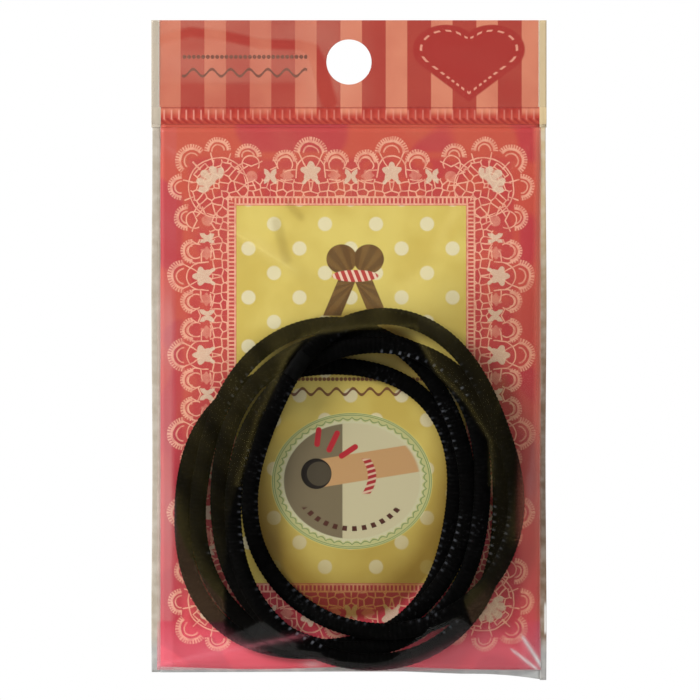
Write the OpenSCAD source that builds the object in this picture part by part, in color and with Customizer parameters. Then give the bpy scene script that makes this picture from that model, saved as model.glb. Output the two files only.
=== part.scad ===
// Hanging header bag with five anti-static elastic wrist bands.
// X runs to the right, Z up, and the front of the bag looks along -Y.
// The origin is the centre of the hang hole, in the middle of the header's thickness.

/* [Bag] */
// Width of the bag over its two side seals
bag_w = 70; // [68:0.5:90]
// Height of the bag from the top edge to the bottom edge
bag_h = 116.4; // [112:0.2:150]
// Height of the header above the fluted seal
header_h = 15.4; // [14:0.2:24]
// Thickness of one layer of clear film
film_t = 0.15; // [0.1:0.01:0.2]
// Width of the heat seal down each side
side_seal_w = 1; // [0.6:0.1:1.2]
// Height of the heat seal along the bottom
bottom_seal_h = 1; // [0.6:0.1:2]

/* [Hang hole] */
// Diameter of the punched hang hole
hole_d = 8; // [5:0.5:10]
// Distance from the top edge down to the centre of the hole
hole_drop = 7.4; // [6:0.1:9]

/* [Fluted seal] */
// Height of the fluted seal between header and pouch
flute_h = 3; // [2:0.1:5]
// Distance from one flute to the next
flute_pitch = 1.3; // [0.8:0.1:2.5]
// Height of a flute over the flat header
flute_rise = 0.12; // [0.05:0.01:0.15]

/* [Printed sheets] */
// Thickness of the printed header card and of the printed backing sheet
sheet_t = 0.25; // [0.2:0.01:0.4]
// Clear film left beside the print at each side
side_margin = 1.4; // [1.3:0.1:3]
// Clear film left under the print
bottom_margin = 1.3; // [1.2:0.1:3]

/* [Bands] */
// Mean radius of a band's loop, along the middle of the strand
loop_r = 25.6; // [20:0.2:26.6]
// Width of a strand
strand_w = 2.9; // [2.2:0.1:3.4]
// Thickness of a strand
strand_t = 1.5; // [1.3:0.1:2.2]
// Thickness of the knitted cover
cover_wall = 0.3; // [0.2:0.05:0.35]
// Diameter of the conductive yarn that is laid in beside the rubber core
yarn_d = 0.25; // [0.15:0.05:0.3]
// Length of the bonded splice that closes each loop
splice_len = 5; // [3:0.5:8]

/* [Fit and travel] */
// Gap at the fold between header and pouch
fold_gap = 0.6; // [0.5:0.05:1]
// Free film left over the bands when they are pushed all the way up
top_room = 12; // [8:1:16]
// Clearance from the bands to the backing sheet, the front film and the bottom seal
band_clear = 0.2; // [0.15:0.05:0.5]
// Gap between two bands where one lies on the other
pile_gap = 0.1; // [0.05:0.05:0.3]
// Clearance inside the knitted cover, and round the backing sheet
inner_clear = 0.05; // [0.03:0.01:0.08]

/* [Hidden] */

film_color = [0.86, 0.86, 0.84, 0.35];
header_color = [0.84, 0.42, 0.38];
backing_color = [0.80, 0.28, 0.28];
flute_color = [0.85, 0.50, 0.45];
seal_color = [0.80, 0.78, 0.74];
cover_color = [0.05, 0.05, 0.05];
core_color = [0.16, 0.15, 0.14];
yarn_color = [0.40, 0.40, 0.42];
splice_color = [0.09, 0.09, 0.09];

// Each loop lies as it was dropped into the bag. One row is a band, from the back of the
// pile to the front: its centre from the middle of the bundle, across and up, in loop radii.
band_count = 5;
loop_centre_ratios = [[-0.21, -0.24], [-0.10, -0.05], [0.01, -0.11], [0.12, -0.18], [0.235, 0.02]];
// Its radii in loop radii, every eighth of a turn from the right-hand side, turning upwards.
loop_shape_ratios = [
    [0.93, 1.07, 1.00, 1.00, 0.94, 1.02, 0.96, 0.95],
    [0.92, 0.98, 1.10, 0.99, 0.93, 1.10, 1.12, 1.01],
    [0.91, 1.04, 1.07, 0.99, 0.91, 1.02, 1.08, 1.01],
    [0.93, 1.06, 1.09, 0.99, 0.92, 1.02, 1.09, 1.05],
    [0.90, 0.93, 1.09, 0.92, 0.90, 1.04, 1.08, 1.04]
];
// Where the splice sits, in degrees from the right-hand side.
splice_angles = [110, 248, 60, 292, 128];

stations = 56;
sides = 8;
core_sides = 6;
yarn_sides = 4;
// A band climbs onto the one below it over this many stations.
climb_stations = 4;
eps = 0.01;

// Levels in depth: the header's middle is at zero, and the back is at +Y.
header_t = 2 * film_t + sheet_t;
back_y = header_t / 2;
film_front_y = back_y - film_t;
sheet_front_y = film_front_y - sheet_t;

// Levels in height.
top_z = hole_drop;
bottom_z = top_z - bag_h;
flute_top_z = top_z - header_h;
flute_bottom_z = flute_top_z - flute_h;
pouch_top_z = flute_bottom_z - fold_gap;
seal_top_z = bottom_z + bottom_seal_h;
sheet_bottom_z = bottom_z + bottom_margin;

pouch_half_w = bag_w / 2 - side_seal_w;
sheet_half_w = bag_w / 2 - side_margin;

// --- loops -------------------------------------------------------------------------------

// Interpolation kernel of a closed curve through eight evenly spaced values.
function kernel(x) =
    let (s = sin(x / 2))
    abs(s) < 0.0001 ? 1 : sin(4 * x) * cos(x / 2) / (8 * s);

function total(v) = v * [for (x = v) 1];

function loop_radius(i, a) =
    loop_r * total([for (k = [0:7]) loop_shape_ratios[i][k] * kernel(a - 45 * k)]);

// Middle of strand i at angle a, across and up, from the middle of the bundle, lying free.
function free_point(i, a) =
    loop_r * loop_centre_ratios[i] + loop_radius(i, a) * [cos(a), sin(a)];

// The sides of a narrow bag press the loops narrower, and so taller.
free_half_w = max([
    for (i = [0:band_count - 1])
        for (k = [0:stations - 1]) abs(free_point(i, 360 * k / stations)[0])
]);
room_half_w = pouch_half_w - film_t - 2 * band_clear - strand_w / 2;
squeeze = min(1, room_half_w / free_half_w);

function loop_point(i, a) =
    let (p = free_point(i, a))
    [p[0] * squeeze, p[1] / squeeze];

loop_paths = [
    for (i = [0:band_count - 1])
        [for (k = [0:stations - 1]) loop_point(i, 360 * k / stations)]
];
bundle_low = min([for (path = loop_paths) for (p = path) p[1]]);
bundle_high = max([for (path = loop_paths) for (p = path) p[1]]);
// The bundle stands on the bottom seal.
bundle_z = seal_top_z + 2 * band_clear + film_t + strand_w / 2 - bundle_low;
lift = pouch_top_z - top_room - (bundle_z + bundle_high + strand_w / 2);

// --- how the loops pile up ---------------------------------------------------------------

// Height of a strand's middle over the backing sheet, where it lies on the sheet.
lying_h = band_clear + strand_t / 2;
reach = strand_w + pile_gap;
over = strand_t + pile_gap;

// Distance from p to the segment a-b, and how far along the segment the nearest point is.
function to_segment(p, a, b) =
    let (
        ab = b - a,
        t = max(0, min(1, ((p - a) * ab) / (ab * ab)))
    )
    [norm(p - a - t * ab), t];

// Height that a strand needs at p to clear a strand on this path at these heights. Two equal
// ellipses side by side just touch where (across / width)^2 + (up / thickness)^2 is 1.
function height_over(p, path, heights) =
    max([
        for (m = [0:stations - 1])
            let (
                n = (m + 1) % stations,
                near = to_segment(p, path[m], path[n])
            )
            near[0] >= reach ? lying_h
            : heights[m] + (heights[n] - heights[m]) * near[1]
              + over * sqrt(1 - pow(near[0] / reach, 2))
    ]);

function needed(i, below) =
    i == 0 ? [for (p = loop_paths[0]) lying_h]
    : [
        for (p = loop_paths[i])
            max([for (j = [0:i - 1]) height_over(p, loop_paths[j], below[j])])
    ];

// A climb starts before the crossing and ends after it, as a smooth ramp.
function ramp(q) = abs(q) <= 1 ? 1 : (1 + cos(180 * (abs(q) - 1) / climb_stations)) / 2;

function eased(heights) = [
    for (k = [0:stations - 1])
        max([
            for (q = [-climb_stations:climb_stations])
                lying_h + (heights[(k + q + stations) % stations] - lying_h) * ramp(q)
        ])
];

function pile(i, below) =
    i == band_count ? below : pile(i + 1, concat(below, [eased(needed(i, below))]));

pile_heights = pile(0, []);

// Height of strand i at any angle, between its stations.
function strand_height(i, a) =
    let (
        s = (((a % 360) + 360) % 360) * stations / 360,
        m = floor(s) % stations,
        n = (m + 1) % stations
    )
    pile_heights[i][m] + (pile_heights[i][n] - pile_heights[i][m]) * (s - floor(s));

// --- strands -----------------------------------------------------------------------------

function strand_middle(i, a) =
    let (p = loop_point(i, a))
    [p[0], sheet_front_y - strand_height(i, a), bundle_z + p[1]];

// A ring of n points round the strand's middle: half_w across the strand, half_t through it.
function ring(i, a, half_w, half_t, n, shift = 0) =
    let (
        middle = strand_middle(i, a),
        along = strand_middle(i, a + 1) - strand_middle(i, a - 1),
        flat = [along[0], 0, along[2]],
        across = cross(flat, [0, 1, 0]) / norm(flat),
        through = cross(along, across) / norm(along)
    )
    [
        for (k = [0:n - 1])
            let (b = 360 * (k + 0.5) / n)
            middle + (shift + half_w * cos(b)) * across + half_t * sin(b) * through
    ];

// Faces between two rings of n points that start at index p and q.
function band_faces(p, q, n) = [
    for (k = [0:n - 1])
        let (m = (k + 1) % n)
        each [[p + k, p + m, q + k], [p + m, q + m, q + k]]
];

splice_turn = splice_len / 2 / loop_r * 180 / PI;
function strand_angle(i, k) =
    splice_angles[i] + splice_turn + (360 - 2 * splice_turn) * k / stations;

// A closed loop with no ends, for the space that a band sweeps.
module whole_loop(i, half_w, half_t) {
    count = stations;
    points = [
        for (k = [0:count - 1]) each ring(i, 360 * k / count, half_w, half_t, sides)
    ];
    faces = [
        for (k = [0:count - 1]) each band_faces(k * sides, ((k + 1) % count) * sides, sides)
    ];
    polyhedron(points, faces);
}

// A solid rod along the strand, from one side of the splice round to the other.
module rod(i, half_w, half_t, n, shift = 0) {
    points = [
        for (k = [0:stations]) each ring(i, strand_angle(i, k), half_w, half_t, n, shift)
    ];
    faces = concat(
        [for (k = [0:stations - 1]) each band_faces(k * n, (k + 1) * n, n)],
        [[for (k = [0:n - 1]) n - 1 - k]],
        [[for (k = [0:n - 1]) stations * n + k]]
    );
    polyhedron(points, faces);
}

cover_half_w = strand_w / 2;
cover_half_t = strand_t / 2;
bore_half_w = cover_half_w - cover_wall;
bore_half_t = cover_half_t - cover_wall;
// The yarn lies at one edge of the bore, and the core fills the rest.
yarn_shift = bore_half_w * 0.92 - inner_clear - yarn_d / 2;
core_half_t = bore_half_t * 0.9 - inner_clear;
core_left = -bore_half_w * 0.92 + inner_clear;
core_right = yarn_shift - yarn_d / 2 - inner_clear;
core_half_w = (core_right - core_left) / 2;
core_shift = (core_right + core_left) / 2;

module band_cover(i) {
    count = stations + 1;
    outer = [
        for (k = [0:stations])
            each ring(i, strand_angle(i, k), cover_half_w, cover_half_t, sides)
    ];
    inner = [
        for (k = [0:stations])
            each ring(i, strand_angle(i, k), bore_half_w, bore_half_t, sides)
    ];
    first_in = count * sides;
    last_out = stations * sides;
    last_in = first_in + last_out;
    faces = concat(
        [for (k = [0:stations - 1]) each band_faces(k * sides, (k + 1) * sides, sides)],
        [
            for (k = [0:stations - 1])
                each band_faces(first_in + (k + 1) * sides, first_in + k * sides, sides)
        ],
        band_faces(first_in, 0, sides),
        band_faces(last_out, last_in, sides)
    );
    color(cover_color) polyhedron(concat(outer, inner), faces);
}

module band_core(i) {
    color(core_color) rod(i, core_half_w, core_half_t, core_sides, core_shift);
}

module band_yarn(i) {
    color(yarn_color) rod(i, yarn_d / 2, yarn_d / 2, yarn_sides, yarn_shift);
}

module band_splice(i) {
    steps = 2;
    points = [
        for (k = [-1:1])
            each ring(i, splice_angles[i] + k * splice_turn, cover_half_w, cover_half_t, sides)
    ];
    faces = concat(
        [for (k = [0:steps - 1]) each band_faces(k * sides, (k + 1) * sides, sides)],
        [[for (k = [0:sides - 1]) sides - 1 - k]],
        [[for (k = [0:sides - 1]) steps * sides + k]]
    );
    color(splice_color) polyhedron(points, faces);
}

// --- header ------------------------------------------------------------------------------

// A flat layer of the header with the hang hole punched through it.
module header_layer(half_w, front_y, thickness) {
    difference() {
        translate([-half_w, front_y, flute_top_z])
            cube([2 * half_w, thickness, header_h]);
        translate([0, front_y - 1, 0])
            rotate([-90, 0, 0])
                cylinder(d = hole_d, h = thickness + 2, $fn = 64);
    }
}

module header_front_film() {
    color(film_color) header_layer(bag_w / 2, -header_t / 2, film_t);
}

module header_back_film() {
    color(film_color) header_layer(bag_w / 2, film_front_y, film_t);
}

module header_card() {
    color(header_color) header_layer(sheet_half_w, sheet_front_y, sheet_t);
}

// All layers pressed together between fluted jaws: the front and the back run in flutes.
module fluted_seal() {
    flutes = floor(bag_w / flute_pitch);
    start = -flutes * flute_pitch / 2;
    front = [
        for (k = [0:2 * flutes])
            [start + k * flute_pitch / 2, -header_t / 2 - (k % 2) * flute_rise]
    ];
    back = [
        for (k = [0:2 * flutes])
            [-start - k * flute_pitch / 2, header_t / 2 + (k % 2) * flute_rise]
    ];
    edge = bag_w / 2;
    outline = concat(
        [[-edge, header_t / 2], [-edge, -header_t / 2]], front,
        [[edge, -header_t / 2], [edge, header_t / 2]], back
    );
    color(flute_color)
        translate([0, 0, flute_bottom_z])
            linear_extrude(flute_h)
                polygon(outline);
}

// --- pouch -------------------------------------------------------------------------------

// The space under a skin stretched over the backing sheet and over the bands, wherever they
// are on their way up. With grow it is larger by that much, and it never passes the back.
module stretched_over(grow, half_w, low_z) {
    sheet_grow = inner_clear + grow;
    band_grow = band_clear + grow;
    hull() {
        translate([-half_w, film_front_y - grow - eps, low_z])
            cube([2 * half_w, grow + eps, pouch_top_z - low_z]);
        translate([-sheet_half_w - inner_clear, sheet_front_y - sheet_grow, sheet_bottom_z])
            cube([
                2 * (sheet_half_w + inner_clear),
                sheet_t + sheet_grow,
                pouch_top_z - sheet_bottom_z
            ]);
        for (i = [0:band_count - 1])
            for (z = [0, lift])
                translate([0, 0, z])
                    whole_loop(i, cover_half_w + band_grow, cover_half_t + band_grow);
    }
}

module front_film() {
    color(film_color)
        difference() {
            stretched_over(film_t, pouch_half_w, seal_top_z);
            union() {
                stretched_over(0, pouch_half_w - film_t, seal_top_z + film_t);
                // The space is open at the back and at the fold.
                translate([-sheet_half_w - inner_clear, sheet_front_y, sheet_bottom_z])
                    cube([
                        2 * (sheet_half_w + inner_clear),
                        sheet_t + 1,
                        pouch_top_z + 1 - sheet_bottom_z
                    ]);
            }
        }
}

module back_film() {
    color(film_color)
        translate([-pouch_half_w, film_front_y, seal_top_z])
            cube([2 * pouch_half_w, film_t, pouch_top_z - seal_top_z]);
}

module backing_sheet() {
    color(backing_color)
        translate([-sheet_half_w, sheet_front_y, sheet_bottom_z])
            cube([2 * sheet_half_w, sheet_t, pouch_top_z - sheet_bottom_z]);
}

// Where both films are melted into one strip.
module side_seal(side) {
    color(seal_color)
        translate([side > 0 ? pouch_half_w : -bag_w / 2, film_front_y - film_t, bottom_z])
            cube([side_seal_w, 2 * film_t, pouch_top_z - bottom_z]);
}

module bottom_seal() {
    color(seal_color)
        translate([-pouch_half_w, film_front_y - film_t, bottom_z])
            cube([2 * pouch_half_w, 2 * film_t, bottom_seal_h]);
}

header_front_film();
header_back_film();
header_card();
fluted_seal();
front_film();
back_film();
backing_sheet();
side_seal(-1);  // left_side_seal
side_seal(1);  // right_side_seal
bottom_seal();
band_cover(0);  // band_1_cover
band_core(0);  // band_1_core
band_yarn(0);  // band_1_yarn
band_splice(0);  // band_1_splice
band_cover(1);  // band_2_cover
band_core(1);  // band_2_core
band_yarn(1);  // band_2_yarn
band_splice(1);  // band_2_splice
band_cover(2);  // band_3_cover
band_core(2);  // band_3_core
band_yarn(2);  // band_3_yarn
band_splice(2);  // band_3_splice
band_cover(3);  // band_4_cover
band_core(3);  // band_4_core
band_yarn(3);  // band_4_yarn
band_splice(3);  // band_4_splice
band_cover(4);  // band_5_cover
band_core(4);  // band_5_core
band_yarn(4);  // band_5_yarn
band_splice(4);  // band_5_splice
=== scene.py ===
# A hanging header bag with five anti-static elastic wrist bands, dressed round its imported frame.
# X runs to the right, Z up and the bag faces -Y. The origin is the centre of the hang hole.
# Shapes are worked out in millimetres and put into the meshes in metres.
import bpy
import numpy as np
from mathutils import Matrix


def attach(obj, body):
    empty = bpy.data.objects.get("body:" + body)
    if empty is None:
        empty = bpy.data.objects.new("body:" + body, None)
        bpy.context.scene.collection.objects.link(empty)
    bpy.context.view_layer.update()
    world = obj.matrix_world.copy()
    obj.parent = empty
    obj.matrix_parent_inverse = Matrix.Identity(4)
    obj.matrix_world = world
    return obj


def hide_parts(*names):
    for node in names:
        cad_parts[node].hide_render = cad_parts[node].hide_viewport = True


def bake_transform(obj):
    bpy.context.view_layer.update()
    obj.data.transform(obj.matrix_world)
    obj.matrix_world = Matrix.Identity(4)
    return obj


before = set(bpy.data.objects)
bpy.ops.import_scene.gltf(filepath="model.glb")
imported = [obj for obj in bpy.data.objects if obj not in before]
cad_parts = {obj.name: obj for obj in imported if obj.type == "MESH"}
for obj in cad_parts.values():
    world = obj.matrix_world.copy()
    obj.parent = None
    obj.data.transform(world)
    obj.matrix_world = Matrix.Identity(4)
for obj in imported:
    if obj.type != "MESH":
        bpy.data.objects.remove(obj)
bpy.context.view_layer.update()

# --- room --------------------------------------------------------------------------------
# A small product set-up: a pale floor under the hanging bag, one soft box high on the left,
# and a dark place behind the camera, which flat film mirrors.
MM = 0.001
BAG_MIDDLE_Z, FLOOR_Z, FLOOR_REACH = -51.03, -150.0, 150.0
scene = bpy.context.scene
view_width, camera_far = 124.04, 900.0
camera_data = bpy.data.cameras.new("camera")
camera_data.sensor_width = 36.0
camera_data.lens = 36.0 * camera_far / view_width
camera = bpy.data.objects.new("camera", camera_data)
camera.location = (0.18 * MM, -camera_far * MM, BAG_MIDDLE_Z * MM)
camera.rotation_euler = (np.pi / 2, 0.0, 0.0)
scene.collection.objects.link(camera)
scene.camera = camera
scene.view_settings.view_transform = "Standard"


class Field:
    """A socket that adds Math nodes when it is used in a sum."""

    def __init__(self, finish, socket):
        self.finish, self.socket = finish, socket

    def __add__(self, other):
        return self.finish.math("ADD", self, other)

    __radd__ = __add__

    def __sub__(self, other):
        return self.finish.math("SUBTRACT", self, other)

    def __rsub__(self, other):
        return self.finish.math("SUBTRACT", other, self)

    def __mul__(self, other):
        return self.finish.math("MULTIPLY", self, other)

    __rmul__ = __mul__

    def __truediv__(self, other):
        return self.finish.math("DIVIDE", self, other)

    def __rtruediv__(self, other):
        return self.finish.math("DIVIDE", other, self)

    def __neg__(self):
        return self.finish.math("MULTIPLY", self, -1.0)

    def __abs__(self):
        return self.finish.math("ABSOLUTE", self)

    def __pow__(self, other):
        return self.finish.math("POWER", self, other)


class Finish:
    """The nodes of one material or of the room."""

    def __init__(self, owner):
        owner.use_nodes = True
        self.tree = owner.node_tree
        self.tree.nodes.clear()

    def node(self, kind, settings=None, sockets=None, out=0):
        """Adds a node, sets it, gives its sockets values or links, and returns one output."""
        made = self.tree.nodes.new("ShaderNode" + kind)
        for key, value in (settings or {}).items():
            setattr(made, key, value)
        for key, value in (sockets or {}).items():
            if isinstance(value, Field):
                self.tree.links.new(value.socket, made.inputs[key])
            else:
                made.inputs[key].default_value = value
        return Field(self, made.outputs[out]) if made.outputs else made

    def math(self, operation, *values, clamp=False):
        return self.node("Math", {"operation": operation, "use_clamp": clamp},
                         dict(enumerate(values)))

    def vector(self, operation, *values, out=1):
        """Vector Math: its number, or its vector where out is 0."""
        return self.node("VectorMath", {"operation": operation}, dict(enumerate(values)), out)

    def part(self, vector, k):
        """One part of a vector: 0 is x, 1 is y and 2 is z."""
        return self.node("SeparateXYZ", None, {0: vector}, out=k)

    def hypot(self, a, b):
        """The root of a squared plus b squared."""
        return self.math("SQRT", a * a + b * b)

    def least(self, first, *others):
        """The smallest of several values."""
        for other in others:
            first = self.math("MINIMUM", first, other)
        return first

    def most(self, first, *others):
        """The largest of several values."""
        for other in others:
            first = self.math("MAXIMUM", first, other)
        return first

    def ease(self, value, low, high):
        """0 below low, 1 above high and a smooth step between; low may be the larger one."""
        return self.node("MapRange", {"interpolation_type": "SMOOTHSTEP"},
                         {0: value, 1: low, 2: high, 3: 0.0, 4: 1.0})

    def tint(self, factor, a, b):
        """Colour a where factor is 0 and colour b where it is 1."""
        return self.node("Mix", {"data_type": "RGBA"}, {0: factor, 6: a, 7: b}, out=2)

    def noise(self, where, scale, detail=2.0, out=0):
        return self.node("TexNoise", None, {"Vector": where, "Scale": scale, "Detail": detail},
                         out=out)

    def place(self):
        """The place on the piece, in metres."""
        return self.node("TexCoord", out="Object")

    def mark(self, name, out="Fac"):
        """What a piece keeps under that name at its points."""
        return self.node("Attribute", {"attribute_name": name}, out=out)

    def solid(self, paint, roughness, bump=None, **constants):
        """The shader of a solid surface. A bump is a height, a strength and a depth in
        millimetres; a constant has its socket's name with _ for a space."""
        sockets = {"Base Color": paint, "Roughness": roughness}
        if bump:
            height, strength, depth = bump
            sockets["Normal"] = self.node("Bump", None, {
                "Strength": strength, "Distance": depth * MM, "Height": height})
        sockets.update({name.replace("_", " "): v for name, v in constants.items()})
        return self.node("BsdfPrincipled", None, sockets)

    def shown(self, shader, kind="Material"):
        self.node("Output" + kind, None, {"Surface": shader})


def ink(red, green, blue):
    """A colour given in screen values from 0 to 255, as the linear values that shaders use."""
    screen = np.array([red, green, blue]) / 255.0
    linear = np.where(screen <= 0.04045, screen / 12.92, ((screen + 0.055) / 1.055) ** 2.4)
    return (*linear.tolist(), 1.0)


room = bpy.data.worlds.new("room")
scene.world = room
air = Finish(room)
ray = [air.node("LightPath", out=k) for k in ("Is Camera Ray", "Is Transmission Ray",
                                              "Is Glossy Ray")]
ahead = air.part(air.node("TexCoord", out="Generated"), 1)
# Film shows what it mirrors: nothing behind the camera, dim walls and the white backdrop.
UNLIT, DIM_WALL, WHITE = (0.002, 0.002, 0.002, 1), (0.10, 0.08, 0.05, 1), (1, 1, 1, 1)
ROOM_LIGHT = (0.60, 0.60, 0.60, 1)
walls = air.tint(air.ease(ahead, -0.97, -0.6), UNLIT, DIM_WALL)
mirrored = air.tint(air.ease(ahead, 0.1, 0.5), walls, WHITE)
level = air.tint(ray[2], ROOM_LIGHT, mirrored)
around = air.node("Background", None, {"Color": level, "Strength": 1.0})
backdrop = air.node("Background", None, {"Color": WHITE, "Strength": 1.0})
air.shown(air.node("MixShader", None, {0: air.most(ray[0], ray[1]), 1: around, 2: backdrop}),
          "World")

LAMP_SIDE, LAMP_POWER, LAMP_SHADE = 480.0, 14.0, (1.0, 0.98, 0.95)
lamp = bpy.data.lights.new("key_box", "AREA")
lamp.shape, lamp.size, lamp.energy, lamp.color = "SQUARE", LAMP_SIDE * MM, LAMP_POWER, LAMP_SHADE
lamp_place = np.array([-860.0, -580.0, 511.0])
# It looks at the middle of the bag.
aim = [0.0, 0.0, -51.0] - lamp_place
key_box = bpy.data.objects.new("key_box", lamp)
key_box.location = lamp_place * MM
key_box.rotation_euler = (np.arccos(-aim[2] / np.linalg.norm(aim)), 0.0,
                          np.arctan2(-aim[0], aim[1]))
scene.collection.objects.link(key_box)


def made(name, material, points, faces):
    """A smooth piece from an array of points in millimetres and an array of faces."""
    mesh = bpy.data.meshes.new(name)
    mesh.from_pydata((points.reshape(-1, 3) * MM).tolist(), [], faces.tolist())
    mesh.polygons.foreach_set("use_smooth", np.full(len(mesh.polygons), True))
    mesh.materials.append(material)
    mesh.update()
    piece = bpy.data.objects.new(name, mesh)
    scene.collection.objects.link(piece)
    return piece


def finished(name, build):
    """A material whose nodes are laid by a function that is given its Finish."""
    material = bpy.data.materials.new(name)
    build(Finish(material))
    return material


def quads(rows, columns, first=0, loop_columns=False):
    """Faces of a grid of rows by columns points; looped columns join their end to their start."""
    r = np.arange(rows - 1)[:, None]
    c = np.arange(columns if loop_columns else columns - 1)[None, :]
    r2, c2 = r + 1, (c + 1) % columns
    corners = [r * columns + c, r * columns + c2, r2 * columns + c2, r2 * columns + c]
    return first + np.stack([np.broadcast_to(k, (r.size, c.size)) for k in corners],
                            -1).reshape(-1, 4)


def lay_floor(f):
    """Pale paper, with its own faint grain."""
    grain = f.noise(f.place(), 60.0)
    f.shown(f.solid(f.tint(f.ease(grain, 0.3, 0.7), ink(222, 222, 220), ink(232, 232, 230)), 0.7))


turn = np.linspace(0, 2 * np.pi, 65)[:-1]
reach = np.linspace(0, FLOOR_REACH, 9)[:, None]
floor_points = np.stack([reach * np.cos(turn), reach * np.sin(turn),
                         FLOOR_Z + 0 * reach * turn], -1)
made("floor", finished("floor_paper", lay_floor), floor_points,
              quads(9, 64, loop_columns=True)[:, ::-1])

# --- header card -------------------------------------------------------------------------
# Stiff card behind the clear film, printed with broad soft stripes, a plain heart with a
# stitched line in it and a small garland. The flat punched card is the frame's own solid.
STRIPE_PITCH, STRIPE_LIGHT, STRIPE_START = 8.03, 3.81, -25.69
CORAL_LIGHT, CORAL_DARK = ink(196, 98, 76), ink(174, 50, 40)
HEART_RED, HEART_LINE = ink(172, 34, 28), ink(226, 150, 128)
HEART_X, HEART_LOW, HEART_WIDE, HEART_TALL = 21.26, -7.0, 19.8, 13.6
GARLAND_X, GARLAND_Z, GARLAND_HALF, BROWN = -18.5, -1.9, 11.2, ink(96, 28, 12)


def on_sheet(f):
    """The place on the sheet, x to the right and z up, in millimetres from the hole."""
    place = f.node("Mapping", None, {"Vector": f.place(), "Scale": (1000.0, 1000.0, 1000.0)})
    return f.part(place, 0), f.part(place, 2), place


def striped(f, x, z, place):
    """Header stripes: light where the place within one pitch is under the light width."""
    share = f.math("FRACT", (x - STRIPE_START + 16 * STRIPE_PITCH) / STRIPE_PITCH)
    edge = 0.02
    light = f.ease(share, 0.0, edge) * f.ease(share, STRIPE_LIGHT / STRIPE_PITCH + edge,
                                              STRIPE_LIGHT / STRIPE_PITCH)
    mottle = f.noise(place, 0.09, 3.0)
    dark = f.tint(f.ease(mottle, 0.3, 0.7), CORAL_DARK, ink(180, 58, 44))
    pale = f.tint(f.ease(mottle, 0.3, 0.7) * 0.5 + f.ease(x, -12.0, 0.0) * 0.5, CORAL_LIGHT,
                  ink(220, 136, 106))
    return f.tint(light, dark, pale)


def heart(f, x, z):
    """Signed distance to the heart: half circles on two sides of a square on its corner, which
    together are 1.207 wide and 1.104 tall. Inside is negative."""
    u = abs(x - HEART_X) * (1.207 / HEART_WIDE)
    v = (z - HEART_LOW) * (1.104 / HEART_TALL)
    lobe = f.hypot(u - 0.25, v - 0.75) - 0.3536
    half = f.most(u + v, 0.0) * 0.5
    tip = f.least(f.hypot(u, v - 1.0), f.hypot(u - half, v - half))
    lower = tip * f.math("SIGN", u - v)
    upper_part = f.math("GREATER_THAN", u + v, 1.0)
    return lower + upper_part * (lobe - lower)


def plain_back(f, paint):
    """Unprinted board on the rear half of a card, whose middle is at y = 0."""
    place = f.place()
    board = f.tint(f.noise(place, 300.0, 4.0), ink(226, 222, 214), ink(240, 237, 231))
    return f.tint(f.math("GREATER_THAN", f.part(place, 1), 0.0), paint, board)


def garland(f, along, up, waves, swing, thick, pitch, shift, bead_up, bead):
    """A wavy stem with beads over it: a sine, and circles along a zigzag. thick is half the
    stem's thickness and bead a bead's radius, in millimetres as along and up are."""
    stem = f.ease(abs(up - f.math("SINE", along * waves) * swing), thick, 0.2)
    side = f.math("PINGPONG", along + 40.0, pitch) - shift
    return f.most(stem, f.ease(f.hypot(side, up - bead_up), bead, bead - 0.12))


def paper(f, paint, place, grain, rough):
    """Smooth coated paper with a faint grain: fine pulp that lifts and roughens the print."""
    pulp = f.noise(place, grain, 4.0)
    f.shown(f.solid(paint, f.ease(pulp, 0.0, 1.0) * 0.15 + rough, (pulp, 0.08, 0.05)))


def print_header(f):
    """The stripes, then the heart with its stitched line, then the garland."""
    x, z, place = on_sheet(f)
    paint = striped(f, x, z, place)
    shape = heart(f, x, z)
    paint = f.tint(f.ease(shape, 0.012, -0.012), paint, HEART_RED)
    dash = f.ease(f.math("SINE", f.math("ARCTAN2", z, x - HEART_X) * 27.0), -0.3, 0.1)
    paint = f.tint(f.ease(abs(shape + 0.085), 0.018, 0.008) * dash, paint, HEART_LINE)
    along = x - GARLAND_X
    inside = f.ease(abs(along), GARLAND_HALF, GARLAND_HALF - 0.2)
    beads = garland(f, along, z - GARLAND_Z, waves=1.9, swing=0.62, thick=0.32, pitch=0.827,
                    shift=0.41, bead_up=2.8, bead=0.42)
    paper(f, plain_back(f, f.tint(beads * inside, paint, BROWN)), place, 6.0, 0.45)


def refinish(node, material):
    """A new finish on one of the frame's own solids."""
    node.data.materials.clear()
    node.data.materials.append(material)


refinish(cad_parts["header_card"], finished("header_print", print_header))

# --- header film -------------------------------------------------------------------------
# One layer of clear film lies on each face of the header card, loosely enough to lift in
# shallow blisters between the hang hole, the top edge and the fluted seal.
HALF_W, TOP_Z, FLUTE_TOP, FLUTE_LOW = 35.0, 7.4, -8.0, -11.0
HOLE_R = 4.0
CARD_FRONT, CARD_BACK = -0.125, 0.125
FILM_THIN = 0.05
# The clear margins at the sides begin this far from the middle.
MARGIN_FROM = 33.5


def closed_sheet(name, material, x, z, outer, inner, loop=False):
    """A thin closed piece over a grid of places: outer and inner are the y of its two faces,
    and the outer one faces its own way."""
    points = np.stack([np.stack(np.broadcast_arrays(x, y, z), -1) for y in (outer, inner)])
    rows, columns = points.shape[1:3]
    count = rows * columns
    faces = [quads(rows, columns, loop_columns=loop),
             quads(rows, columns, count, loop_columns=loop)[:, ::-1]]
    top = np.arange(columns)
    edges = [(top, 1), (top + (rows - 1) * columns, -1)]
    if not loop:
        side = np.arange(rows) * columns
        edges += [(side, -1), (side + columns - 1, 1)]
    for line, way in edges:
        follow = np.roll(line, -1) if loop else line[1:]
        start = line if loop else line[:-1]
        rim = np.stack([start, start + count, follow + count, follow], -1)
        faces.append(rim[:, ::way])
    return made(name, material, points, np.concatenate(faces))


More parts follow.
